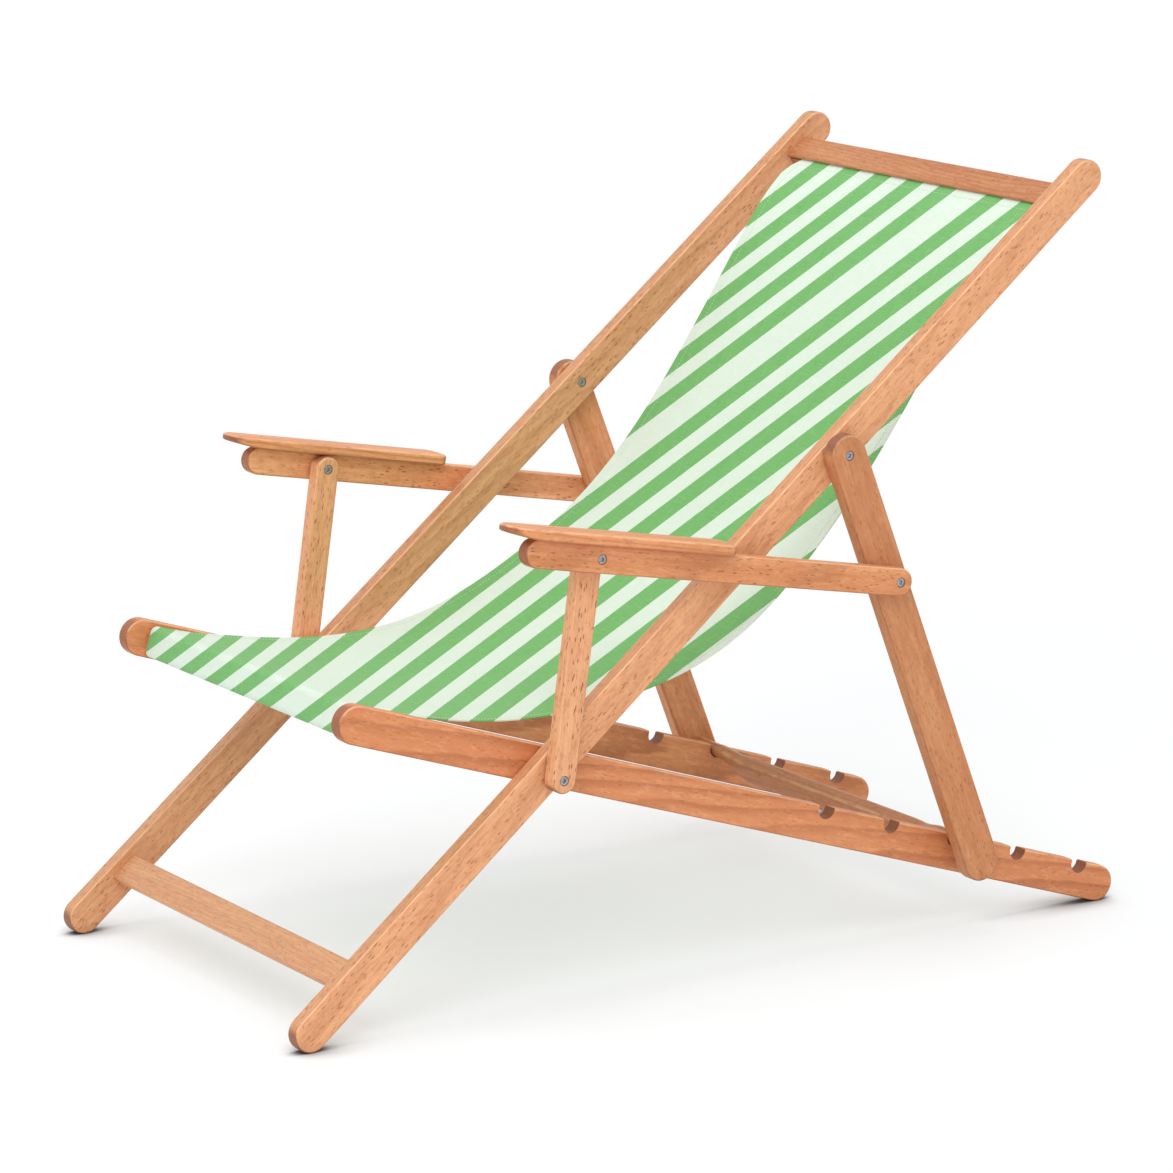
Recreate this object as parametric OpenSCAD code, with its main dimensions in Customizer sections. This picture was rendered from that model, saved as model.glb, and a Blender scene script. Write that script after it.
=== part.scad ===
// Folding beech deck chair with armrests and a canvas sling.
// X runs across the chair (+X is the sitter's left), the front faces -Y, +Z is up.
// The chair stands open in its third notch, with its four feet on z = 0.
// Layers from the middle outward: seat rail, back rail, prop leg and strut, arm rail.

/* [Back frame] */
// Angle of the back rails over the floor, degrees
back_angle = 39.7; // [38:0.1:42]
// Back rail from the main pivot down to its foot
back_foot = 389; // [380:1:400]
// Back rail from the main pivot up to its top end
back_top = 911; // [890:1:930]
// Width of a back rail
back_w = 38; // [34:0.5:42]
// Top rail: width along the back rails
top_rail_w = 32; // [30:0.5:36]
// Top rail: upper edge, measured from the main pivot
top_rail_at = 873; // [862:0.5:878]
// Top rail: front face over the back rails' centre line
top_rail_up = 6; // [5:0.5:8]
// Top rail: its slot behind the front face
slot_in = 5; // [4.5:0.1:7]
// Lower stretcher: width of the board
stretcher_w = 34; // [30:0.5:38]
// Lower stretcher: thickness of the board
stretcher_t = 11; // [10:0.5:14]
// Lower stretcher: upper face over the back rails' centre line
stretcher_up = 9.5; // [7:0.5:12]
// Lower stretcher: upper edge, measured down from the main pivot
stretcher_at = 283; // [278:0.5:288]

/* [Seat frame] */
// Seat rail from the main pivot to its front end
seat_front = 257; // [250:1:265]
// Seat rail from the main pivot to its rear end, which rests on the floor
seat_rear = 788; // [780:1:800]
// Width of a seat rail
seat_w = 41; // [39:0.5:44]
// Number of notches
notches = 5; // [3:1:5]
// First notch, measured from the main pivot
notch_first = 369.5; // [360:0.5:380]
// Spacing of the notches
notch_pitch = 91; // [86:0.5:92]
// Notch that holds the prop bar
notch_used = 3; // [3:1:3]
// Width of a notch
notch_w = 21; // [19:0.5:22]
// Depth of a notch
notch_d = 14; // [12:0.5:16]
// Front rail: height
front_rail_h = 32; // [30:0.5:34]

/* [Prop and arms] */
// Prop pivot, measured up the back rail from the main pivot
prop_at = 469; // [460:1:475]
// Prop leg from its pivot to its lower end
prop_len = 528; // [520:1:560]
// Width of a prop leg
prop_w = 44; // [40:0.5:46]
// Prop bar: diameter of its round ends
bar_d = 16; // [14:0.5:17]
// Prop bar: depth of the board between them
bar_deep = 22; // [20:0.5:26]
// Prop bar: thickness of the board
bar_t = 20; // [18:0.5:22]
// Prop bar: how far the board's upper edge lies under the middle of the round ends
bar_under = 6; // [0:0.5:8]
// Arm pivot, measured down the prop leg from its pivot
arm_drop = 150; // [145:1:155]
// Strut from the main pivot to the arm pivot
strut_len = 236; // [230:1:240]
// Width of a strut
strut_w = 28; // [26:0.5:29]
// Width of an arm rail
arm_w = 30; // [30:0.5:34]
// Arm rail in front of its front pivot
arm_front = 92; // [85:1:100]
// Arm rail behind its rear pivot
arm_rear = 15; // [15:0.5:30]
// Armrest board: length
board_len = 280; // [260:1:282]
// Armrest board beyond the front end of the arm rail
board_ahead = 28; // [20:1:32]
// Armrest board: width
board_w = 44; // [40:0.5:50]
// Armrest board: thickness
board_t = 12; // [9:0.5:14]
// Armrest board: how far its nose is thinned from below
nose_rise = 5; // [2:0.5:6]
// Armrest board: length of the thinned nose
nose_len = 37; // [20:1:42]

/* [Stock and fittings] */
// Thickness of the rails and legs
stock = 18; // [17:0.5:18]
// Pitch of the layers: one rail and one washer gap
layer = 20; // [20:0.5:22]
// Half the clear width between the seat rails
half_inner = 226; // [224:1:230]
// Diameter of the pivot bolts
bolt_d = 6; // [5:0.5:6]
// Diameter of the bolt heads and nuts
head_d = 10; // [9:0.5:11]
// Clear space between the sling and each seat rail
sling_gap = 4; // [3:0.5:12]
// Thickness of the canvas
sling_t = 1.6; // [1.2:0.1:1.8]
// Number of tacks under the front rail
tacks = 9; // [5:1:11]
// Outermost tacks from the sling's edges
tack_in = 22; // [15:1:30]

/* [Hidden] */
$fn = 64;

beech = [0.87, 0.62, 0.42];
steel = [0.62, 0.63, 0.65];
canvas = [0.55, 0.80, 0.50];

run = 0.05;      // radial clearance of a turning bolt
seat_gap = 0.2;  // free play beside each washer
rest_gap = 0.3;  // between the prop bar and the notch that it rests in
hole_off = 7.5;  // the main pivot lies this far under both rails' centre lines

// layers, as the inner face of each, on the +X side
x_seat = half_inner;
x_back = x_seat + layer;
x_prop = x_back + layer;
x_arm = x_prop + layer;
washer_t = layer - stock - seat_gap;

// a point at s along and n above a line of angle a through the main pivot
function on(a, s, n) = [s * cos(a) - n * sin(a), s * sin(a) + n * cos(a)];
function dir(a) = [cos(a), sin(a)];
function angle_of(v) = atan2(v[1], v[0]);

// height of the main pivot with the round front feet on the floor
pivot_z = back_w / 2 - on(back_angle, back_w / 2 - back_foot, hole_off)[1];
// slope of the seat rails with their round rear ends on the floor
seat_foot = seat_rear - seat_w / 2;
seat_angle = atan2(hole_off, seat_foot)
    - asin((pivot_z - seat_w / 2) / norm([hole_off, seat_foot])) - 2 * atan2(hole_off, seat_foot);
sling_w = 2 * (half_inner - sling_gap);

// the part's middle in Y
y_low = on(back_angle, back_w / 2 - back_foot, hole_off)[0] - back_w / 2;
y_high = on(seat_angle, seat_foot, hole_off)[0] + seat_w / 2;
pivot = [-(y_low + y_high) / 2, pivot_z];

notch_r = notch_w / 2;
tenon_r = bar_d / 2;
seat_top = hole_off + seat_w / 2;
notch_n = seat_top - notch_d + notch_r;
function notch_s(k) = notch_first + (k - 1) * notch_pitch;

// linkage, relative to the main pivot; the load presses the bar down the legs into its notch
prop_pin = on(back_angle, prop_at, hole_off);
notch_at = on(seat_angle, notch_s(notch_used), notch_n);
prop_angle = angle_of(notch_at - prop_pin);
bar_len = norm(notch_at - prop_pin) + notch_r - tenon_r - rest_gap;
bar_at = prop_pin + bar_len * dir(prop_angle);
rear_pin = prop_pin + arm_drop * dir(prop_angle);
// the four lengths let the arms fold flat along the back rails
arm_len = norm(prop_pin) + arm_drop - strut_len;
reach = norm(rear_pin);
along = (strut_len * strut_len - arm_len * arm_len + reach * reach) / (2 * reach);
front_pin = rear_pin / reach * along
    + [-rear_pin[1], rear_pin[0]] / reach * sqrt(strut_len * strut_len - along * along);
arm_angle = angle_of(rear_pin - front_pin);
strut_angle = angle_of(front_pin);

tenon_deep = 12;
bar_half = half_inner - 4;
bar_lip = 0.5;       // the board's round ends stand this much over the turned tenons
bar_end = 4;         // the board starts round over this length
bar_ease = [40, 60]; // and swings down to its full depth over these, above and below
bar_step = 4.5;
bar_steps = 15;

// lower and upper faces, over the main pivot's line
stretcher_n = [hole_off + stretcher_up - stretcher_t, hole_off + stretcher_up];
top_rail_n = [hole_off + top_rail_up - stock, hole_off + top_rail_up];
slot_n = top_rail_n[1] - slot_in;
slot_w = 3;
channel_r = 3.4;
channel_s = top_rail_at - top_rail_w + 11;
rod_r = 1.5;

front_rail_s = [-230, -210];
front_rail_n = [hole_off - front_rail_h / 2 - 1, hole_off + front_rail_h / 2 - 1];
front_r = 6;
tack_s = -215;

head_t = 2.6;
head_in = 0.4;  // heads and nuts lie this far under the wood's face

// ---- placing ----

// carries a profile drawn in (Y, Z) about a point of the part, as a slab from x on
module slab(x, t) {
    translate([x, pivot[0], pivot[1]]) rotate([90, 0, 90]) linear_extrude(t) children();
}

// the same for round pieces: a cylinder along X at a pin
module pin(at, x0, x1, r) {
    translate([x0, pivot[0] + at[0], pivot[1] + at[1]]) rotate([0, 90, 0]) cylinder(h = x1 - x0, r = r);
}

module hex(at, x0, x1, flats) {
    translate([x0, pivot[0] + at[0], pivot[1] + at[1]]) rotate([0, 90, 0])
        cylinder(h = x1 - x0, r = flats / 2 / cos(30), $fn = 6);
}

// a bar from s0 to s1 on a line of angle a, with round ends
module bar2d(a, s0, s1, n, w) {
    rotate(a) {
        translate([s0 + w / 2, n - w / 2]) square([s1 - s0 - w, w]);
        translate([s0 + w / 2, n]) circle(w / 2);
        translate([s1 - w / 2, n]) circle(w / 2);
    }
}

// a rectangle with round corners, from [x0, y0] to [x1, y1]
module round2d(x0, y0, x1, y1, r) {
    translate([x0 + r, y0]) square([x1 - x0 - 2 * r, y1 - y0]);
    translate([x0, y0 + r]) square([x1 - x0, y1 - y0 - 2 * r]);
    for (x = [x0 + r, x1 - r], y = [y0 + r, y1 - r]) translate([x, y]) circle(r);
}

module other_side() { mirror([1, 0, 0]) children(); }

module bolt(at, x0, x1) {
    // head at x1, shank back to x0
    difference() {
        union() {
            pin(at, x0, x1 - head_in - head_t / 2, bolt_d / 2);
            pin(at, x1 - head_in - head_t, x1 - head_in, head_d / 2);
        }
        hex(at, x1 - head_in - 1.8, x1 + 1, 4);
    }
}

module nut(at, x0) {
    difference() {
        pin(at, x0 + head_in, x0 + head_in + head_t, head_d / 2);
        pin(at, x0, x0 + 4, bolt_d / 2);
    }
}

module washer(at, x0) {
    difference() {
        pin(at, x0, x0 + washer_t, 8);
        pin(at, x0 - 1, x0 + washer_t + 1, bolt_d / 2 + 0.2);
    }
}

module recess_out(at, x1, r) { pin(at, x1 - head_in - head_t, x1 + 1, r); }
module recess_in(at, x0, r) { pin(at, x0 - 1, x0 + head_in + head_t, r); }

// ---- back frame ----

module long_rail() {
    color(beech) difference() {
        slab(x_back, stock) bar2d(back_angle, -back_foot, back_top, hole_off, back_w);
        slab(x_back, tenon_deep) top_tenon2d();
        slab(x_back, tenon_deep) stretcher_tenon2d();
        pin([0, 0], x_back - 1, x_prop, bolt_d / 2);
        pin(prop_pin, x_back - 1, x_prop, bolt_d / 2);
        recess_in(prop_pin, x_back, head_d / 2);
    }
}

module top_tenon2d() {
    rotate(back_angle) translate([top_rail_at - top_rail_w + 16, top_rail_n[0] + 4])
        square([top_rail_w - 20, stock - 8]);
}

module stretcher_tenon2d() {
    rotate(back_angle) translate([-stretcher_at - stretcher_w + 4, stretcher_n[0] + 3])
        square([stretcher_w - 8, stretcher_n[1] - stretcher_n[0] - 6]);
}

module top_rail() {
    color(beech) {
        difference() {
            slab(-x_back, 2 * x_back) rotate(back_angle)
                round2d(top_rail_at - top_rail_w, top_rail_n[0], top_rail_at, top_rail_n[1], 3);
            slab(-x_back - 1, 2 * x_back + 2) rotate(back_angle) {
                translate([channel_s, slot_n]) circle(channel_r);
                translate([top_rail_at - top_rail_w - 1, slot_n - slot_w / 2])
                    square([channel_s - top_rail_at + top_rail_w + 1, slot_w]);
            }
        }
        slab(x_back, tenon_deep) top_tenon2d();
        slab(-x_back - tenon_deep, tenon_deep) top_tenon2d();
    }
}

module lower_stretcher() {
    color(beech) {
        slab(-x_back, 2 * x_back) rotate(back_angle)
            round2d(-stretcher_at - stretcher_w, stretcher_n[0], -stretcher_at, stretcher_n[1], 2);
        slab(x_back, tenon_deep) stretcher_tenon2d();
        slab(-x_back - tenon_deep, tenon_deep) stretcher_tenon2d();
    }
}

module main_bolt() { color(steel) bolt([0, 0], x_seat + 1, x_prop + stock); }
module main_nut() { color(steel) nut([0, 0], x_seat); }
module prop_bolt() { color(steel) bolt(prop_pin, x_back + 1, x_prop + stock); }
module prop_nut() { color(steel) nut(prop_pin, x_back); }

module back_washers() {
    color(steel) {
        washers_one_side();
        other_side() washers_one_side();
    }
}

module washers_one_side() {
    washer([0, 0], x_back - washer_t);
    washer([0, 0], x_back + stock);
    washer(prop_pin, x_back + stock);
}

module sling_rod() { color(steel) pin(hem_at, -sling_w / 2, sling_w / 2, rod_r); }

// ---- sling ----

// the canvas leaves the slot, hangs in a bow and lands on the front rail
hem_at = on(back_angle, channel_s, slot_n);
sling_up = on(back_angle, top_rail_at - top_rail_w - 1, slot_n);
lay = 0.2;  // between the canvas and the front rail that it wraps
land_n = front_rail_n[1] + lay + sling_t / 2;
sling_low = on(seat_angle, front_rail_s[1] - front_r / 2, land_n);
// the bow's two ends: how steeply and how far each one pulls, as parts of the span
bow_pull = [0.223, 0.618] * norm(sling_up - sling_low);
bow_up = sling_up - bow_pull[0] * dir(back_angle - 3.7);
bow_low = sling_low + bow_pull[1] * dir(seat_angle + 1.15);
bow_steps = 44;
function bow(t) = pow(1 - t, 3) * sling_up + 3 * pow(1 - t, 2) * t * bow_up
    + 3 * (1 - t) * t * t * bow_low + pow(t, 3) * sling_low;
wrap_r = front_r + lay + sling_t / 2;
function corner(s, n, a0, a1) = [for (i = [0:6]) let (a = a0 + (a1 - a0) * i / 6)
    on(seat_angle, s + wrap_r * cos(a), n + wrap_r * sin(a))];
sling_path = concat(
    [on(back_angle, channel_s - channel_r + 1, slot_n)],
    [for (i = [0:bow_steps]) bow(i / bow_steps)],
    corner(front_rail_s[0] + front_r, front_rail_n[1] - front_r, 90, 180),
    corner(front_rail_s[0] + front_r, front_rail_n[0] + front_r, 180, 270),
    [on(seat_angle, front_rail_s[1] - 1, front_rail_n[0] - lay - sling_t / 2)]);
function heading(i) = let (n = len(sling_path), a = sling_path[max(i - 1, 0)], b = sling_path[min(i + 1, n - 1)])
    (b - a) / norm(b - a);
function beside(i, d) = sling_path[i] + d * [-heading(i)[1], heading(i)[0]];

function tack_x(i) = (i / (tacks - 1) - 0.5) * (sling_w - 2 * tack_in);

module tack_holes(r) {
    for (i = [0:tacks - 1]) {
        translate([tack_x(i), pivot[0], pivot[1]]) rotate([seat_angle, 0, 0])
            translate([0, tack_s, front_rail_n[0] - lay - sling_t]) cylinder(h = 12, r = r, $fn = 24);
    }
}

module sling() {
    color(canvas) difference() {
        union() {
            slab(-sling_w / 2, sling_w)
                polygon(concat([for (i = [0:len(sling_path) - 1]) beside(i, sling_t / 2)],
                    [for (i = [len(sling_path) - 1:-1:0]) beside(i, -sling_t / 2)]));
            // the hem round the rod
            pin(hem_at, -sling_w / 2, sling_w / 2, channel_r - 0.5);
        }
        pin(hem_at, -sling_w / 2 - 1, sling_w / 2 + 1, rod_r);
        tack_holes(1.1);
    }
}

// ---- seat frame ----

module seat_rail() {
    color(beech) difference() {
        slab(x_seat, stock) difference() {
            bar2d(seat_angle, -seat_front, seat_rear, hole_off, seat_w);
            rotate(seat_angle) for (k = [1:notches]) translate([notch_s(k), notch_n]) {
                circle(notch_r);
                translate([-notch_r, 0]) square([notch_w, notch_d]);
            }
        }
        slab(x_seat, tenon_deep) front_tenon2d();
        pin([0, 0], x_seat - 1, x_back, bolt_d / 2 + run);
        recess_in([0, 0], x_seat, head_d / 2 + run);
    }
}

module front_tenon2d() {
    rotate(seat_angle) translate([front_rail_s[0] + 5, front_rail_n[0] + 6])
        square([front_rail_s[1] - front_rail_s[0] - 10, front_rail_h - 12]);
}

module seat_front_rail() {
    color(beech) difference() {
        union() {
            slab(-x_seat, 2 * x_seat) rotate(seat_angle)
                round2d(front_rail_s[0], front_rail_n[0], front_rail_s[1], front_rail_n[1], front_r);
            slab(x_seat, tenon_deep) front_tenon2d();
            slab(-x_seat - tenon_deep, tenon_deep) front_tenon2d();
        }
        tack_holes(0.8);
    }
}

module sling_tacks() {
    color(steel) {
        tack_holes(0.8);
        for (i = [0:tacks - 1]) translate([tack_x(i), pivot[0], pivot[1]])
            rotate([seat_angle, 0, 0]) translate([0, tack_s, front_rail_n[0] - lay - sling_t - 1])
                cylinder(h = 1, r = 3.5, $fn = 32);
    }
}

// ---- prop frame ----

module prop_leg() {
    color(beech) difference() {
        slab(x_prop, stock) translate(prop_pin) bar2d(prop_angle, -prop_w / 2, prop_len, 0, prop_w);
        pin(prop_pin, x_prop - 1, x_arm, bolt_d / 2 + run);
        recess_out(prop_pin, x_prop + stock, head_d / 2 + run);
        pin(rear_pin, x_prop - 1, x_arm, bolt_d / 2);
        recess_in(rear_pin, x_prop, head_d / 2);
        pin(bar_at, x_prop - 1, x_prop + tenon_deep, tenon_r);
    }
}

module prop_crossbar() {
    color(beech) {
        pin(bar_at, bar_half - 0.75 * bar_end, x_prop + tenon_deep, tenon_r);
        pin(bar_at, -x_prop - tenon_deep, 0.75 * bar_end - bar_half, tenon_r);
        translate([0, pivot[0] + bar_at[0], pivot[1] + bar_at[1]]) rotate([prop_angle, 0, 0]) bar_board();
    }
}

// the board between the seat rails, lofted from round ends to a deep section with soft arrises;
// its second axis points down the legs
function ease(t) = let (c = min(max(t, 0), 1)) c * c * (3 - 2 * c);
function soft(v, p) = sign(v) * pow(abs(v), p);
function bar_ring(x) = let (
        d = bar_half - abs(x) - bar_end,
        r = tenon_r + bar_lip,
        upper = -r + (r + bar_under) * ease(d / bar_ease[0]),
        lower = r + (bar_under + bar_deep - r) * ease(d / bar_ease[1]),
        full = ease(d / bar_ease[1]),
        half_t = r + (bar_t / 2 - r) * full,
        p = 1 - full / 2)
    [for (i = [0:23]) let (q = 15 * i + 7.5)
        [x, (upper + lower) / 2 + (lower - upper) / 2 * soft(cos(q), p), half_t * soft(sin(q), p)]];

module bar_board() {
    stations = concat([for (i = [0:bar_steps - 1]) -bar_half + bar_step * i],
        [for (i = [bar_steps - 1:-1:0]) bar_half - bar_step * i]);
    last = len(stations) - 1;
    points = [for (x = stations) each bar_ring(x)];
    sides = [for (k = [0:last - 1], i = [0:23]) let (a = 24 * k + i, b = 24 * k + (i + 1) % 24)
        each [[a, a + 24, b], [b, a + 24, b + 24]]];
    ends = [for (i = [1:22]) each [[0, i, i + 1], [24 * last, 24 * last + i + 1, 24 * last + i]]];
    polyhedron(points, concat(sides, ends), convexity = 4);
}

module arm_rear_nut() {
    color(steel) {
        nut(rear_pin, x_prop);
        pin(rear_pin, x_prop + 1, x_arm - seat_gap, bolt_d / 2);
    }
}

module prop_washers() {
    color(steel) {
        washer(rear_pin, x_prop + stock);
        other_side() washer(rear_pin, x_prop + stock);
    }
}

// ---- struts ----

module strut() {
    color(beech) difference() {
        slab(x_prop, stock) bar2d(strut_angle, -strut_w / 2, strut_len + strut_w / 2, 0, strut_w);
        pin([0, 0], x_prop - 1, x_arm, bolt_d / 2 + run);
        recess_out([0, 0], x_prop + stock, head_d / 2 + run);
        pin(front_pin, x_prop - 1, x_arm, bolt_d / 2);
        recess_in(front_pin, x_prop, head_d / 2);
    }
}

module arm_front_bolt() { color(steel) bolt(front_pin, x_prop + 1, x_arm + stock); }
module arm_front_nut() { color(steel) nut(front_pin, x_prop); }
module strut_washer() { color(steel) washer(front_pin, x_prop + stock); }

// ---- arms ----

board_from = -arm_front - board_ahead;  // along the arm, from its front pivot
screw_at = [board_from + board_len / 4, board_from + board_len * 0.82];

module arm_rail() {
    color(beech) difference() {
        slab(x_arm, stock) translate(front_pin)
            bar2d(arm_angle, -arm_front, arm_len + arm_rear, 0, arm_w);
        pin(front_pin, x_arm - 1, x_arm + stock + 1, bolt_d / 2 + run);
        recess_out(front_pin, x_arm + stock, head_d / 2 + run);
        pin(rear_pin, x_arm - 1, x_arm + stock + 1, bolt_d / 2);
        recess_out(rear_pin, x_arm + stock, head_d / 2);
        for (s = screw_at) board_screw(s, 4, 1);
    }
}

module on_arm(x, s) {
    translate([x, pivot[0] + front_pin[0], pivot[1] + front_pin[1]]) rotate([arm_angle, 0, 0])
        translate([0, s, 0]) children();
}

// screw from under the arm rail up into the board; wide is the head's radius
module board_screw(s, wide, below) {
    on_arm(x_arm + stock / 2, s) {
        translate([0, 0, -arm_w / 2 - below]) cylinder(h = 8 + below, r = wide, $fn = 32);
        translate([0, 0, -arm_w / 2 + 7]) cylinder(h = arm_w - 7 + 7, r = 1.75, $fn = 24);
    }
}

module armrest_board() {
    mid = x_arm + stock / 2;
    r = board_w / 2;
    r2 = board_w / 4;
    color(beech) difference() {
        on_arm(mid, 0) translate([0, 0, arm_w / 2]) linear_extrude(board_t) {
            translate([-r, board_from + r]) square([board_w, board_len - r - r2]);
            translate([0, board_from + r]) circle(r);
            translate([-r + r2, board_from + r]) square([board_w - 2 * r2, board_len - r]);
            for (x = [-r + r2, r - r2]) translate([x, board_from + board_len - r2]) circle(r2);
        }
        slab(mid - r - 1, board_w + 2) translate(front_pin) rotate(arm_angle)
            translate([board_from, arm_w / 2])
            polygon([[-1, -1], [nose_len, -1], [nose_len, 0], [-1, nose_rise * (1 + 1 / nose_len)]]);
        for (s = screw_at) board_screw(s, 4, 1);
    }
}

module board_screws() {
    color(steel) for (s = screw_at) on_arm(x_arm + stock / 2, s) {
        translate([0, 0, -arm_w / 2 + 5]) cylinder(h = 3, r = 4, $fn = 32);
        translate([0, 0, -arm_w / 2 + 7]) cylinder(h = arm_w - 7 + 7, r = 1.75, $fn = 24);
    }
}

module arm_rear_bolt() { color(steel) bolt(rear_pin, x_arm, x_arm + stock); }

// ---- drawing ----

long_rail();  // long_rail_left
other_side() long_rail();  // long_rail_right
top_rail();
lower_stretcher();
main_bolt();  // main_bolt_left
other_side() main_bolt();  // main_bolt_right
main_nut();  // main_nut_left
other_side() main_nut();  // main_nut_right
prop_bolt();  // prop_bolt_left
other_side() prop_bolt();  // prop_bolt_right
prop_nut();  // prop_nut_left
other_side() prop_nut();  // prop_nut_right
back_washers();
sling_rod();
sling();
seat_rail();  // seat_rail_left
other_side() seat_rail();  // seat_rail_right
seat_front_rail();
sling_tacks();
prop_leg();  // prop_leg_left
other_side() prop_leg();  // prop_leg_right
prop_crossbar();
arm_rear_nut();  // arm_rear_nut_left
other_side() arm_rear_nut();  // arm_rear_nut_right
prop_washers();
strut();  // strut_left
other_side() strut();  // strut_right
arm_front_bolt();  // arm_front_bolt_left
other_side() arm_front_bolt();  // arm_front_bolt_right
arm_front_nut();  // arm_front_nut_left
other_side() arm_front_nut();  // arm_front_nut_right
strut_washer();  // strut_washer_left
other_side() strut_washer();  // strut_washer_right
arm_rail();  // arm_rail_left
other_side() arm_rail();  // arm_rail_right
armrest_board();  // armrest_board_left
other_side() armrest_board();  // armrest_board_right
arm_rear_bolt();  // arm_rear_bolt_left
other_side() arm_rear_bolt();  // arm_rear_bolt_right
board_screws();  // board_screws_left
other_side() board_screws();  // board_screws_right
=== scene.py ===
import bpy
import bmesh
import math
import random
from mathutils import Matrix, Vector


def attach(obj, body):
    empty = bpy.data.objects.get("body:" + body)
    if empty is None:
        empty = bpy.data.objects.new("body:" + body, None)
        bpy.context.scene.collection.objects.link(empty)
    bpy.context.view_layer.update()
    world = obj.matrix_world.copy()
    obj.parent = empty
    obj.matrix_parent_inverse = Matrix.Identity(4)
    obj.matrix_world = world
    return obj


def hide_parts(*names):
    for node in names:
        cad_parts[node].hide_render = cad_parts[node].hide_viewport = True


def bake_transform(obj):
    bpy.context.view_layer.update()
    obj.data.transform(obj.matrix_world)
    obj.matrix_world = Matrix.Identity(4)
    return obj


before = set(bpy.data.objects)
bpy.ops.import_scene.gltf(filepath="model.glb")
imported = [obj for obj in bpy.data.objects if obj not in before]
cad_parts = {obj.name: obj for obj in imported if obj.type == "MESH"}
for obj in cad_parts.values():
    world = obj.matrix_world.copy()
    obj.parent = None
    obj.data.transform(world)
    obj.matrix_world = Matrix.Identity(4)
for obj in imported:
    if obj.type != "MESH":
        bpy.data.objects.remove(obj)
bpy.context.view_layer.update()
MM = 0.001
SIDES = (("left", 1), ("right", -1))


# the chair's own numbers, in mm and degrees

# In the side view s runs along a rail from the main pivot, and n square to it. The layers of wood lie one
# LAYER apart across the chair: seat rails, back rails, prop legs with the struts, arm rails.
BACK = 39.7
BACK_FOOT, BACK_TOP, BACK_W = 389, 911, 38
SEAT_FRONT, SEAT_REAR, SEAT_W = 257, 788, 41
HOLE_OFF = 7.5
STOCK, LAYER, HALF_INNER = 18, 20, 226
X_SEAT = HALF_INNER
X_BACK = X_SEAT + LAYER
X_PROP = X_BACK + LAYER
X_ARM = X_PROP + LAYER
TOP_RAIL_AT, TOP_RAIL_W, TOP_RAIL_N, TOP_RAIL_R, TOP_LIP_R = 873, 32, (-4.5, 13.5), 3, 2.5
SLOT_IN, SLOT_HALF, SLOT_MOUTH, CHANNEL_AT, CHANNEL_R = 5, 1.5, 0.5, 11, 3.4
STRETCHER_AT, STRETCHER_W, STRETCHER_N, STRETCHER_R = 283, 34, (6, 17), 2.4
FRONT_RAIL_S, FRONT_RAIL_N, FRONT_RAIL_R = (-230, -210), (HOLE_OFF - 17, HOLE_OFF + 15), 6
NOTCH_FIRST, NOTCH_PITCH, NOTCHES, NOTCH_USED, NOTCH_W, NOTCH_D = 369.5, 91, 5, 3, 21, 14
NOTCH_RIM = 1.6
PROP_AT, PROP_LEN, PROP_W, ARM_DROP = 469, 528, 44, 150
BAR_R, BAR_DEEP, BAR_T, BAR_UNDER, BAR_GAP = 8, 28, 20, -2, 0.3
BAR_HALF, BAR_END, BAR_EASE_UP, BAR_EASE_DOWN = HALF_INNER - 4, 4, 40, 60
TENON_DEEP, TENON_CUT = 12, 0.9
STRUT_LEN, STRUT_W = 236, 28
ARM_W, ARM_FRONT, ARM_REAR = 30, 92, 15
BOARD_LEN, BOARD_AHEAD, BOARD_W, BOARD_T, BOARD_REAR_R = 280, 28, 44, 12, 11
NOSE_RISE, NOSE_LEN = 5, 37
RAIL_EDGE, LEG_EDGE, BOARD_EDGE, END_EDGE = 2.2, 2.4, 3.0, 1.2  # the rounding of the arrises
HEAD_R, HEAD_T, HEAD_IN, SHANK_R, SOCKET_W, SOCKET_DEEP = 5, 2.6, 0.4, 3.0, 4.0, 1.8
SLING_HALF, SLING_T, LAY = HALF_INNER - 4, 1.6, 0.2  # LAY is between the canvas and the front rail
TACKS, TACK_IN, TACK_S = 9, 22, -215


def unit(a):
    return Vector((math.cos(math.radians(a)), math.sin(math.radians(a))))


def on(a, s, n):
    """The point at s along a rail of slope a and n square to it, from the main pivot."""
    d = unit(a)
    return Vector((s * d.x - n * d.y, s * d.y + n * d.x))


def angle_of(v):
    return math.degrees(math.atan2(v.y, v.x))


# both frames stand on the floor, and the outline in plan has its middle at y = 0
pivot_z = BACK_W / 2 - on(BACK, BACK_W / 2 - BACK_FOOT, HOLE_OFF).y
foot = SEAT_REAR - SEAT_W / 2
SEAT = -math.degrees(math.asin((pivot_z - SEAT_W / 2) / math.hypot(foot, HOLE_OFF))
                     + math.atan2(HOLE_OFF, foot))
y_low = on(BACK, BACK_W / 2 - BACK_FOOT, HOLE_OFF).x - BACK_W / 2
y_high = on(SEAT, foot, HOLE_OFF).x + SEAT_W / 2
PIVOT = Vector((-(y_low + y_high) / 2, pivot_z))

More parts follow.
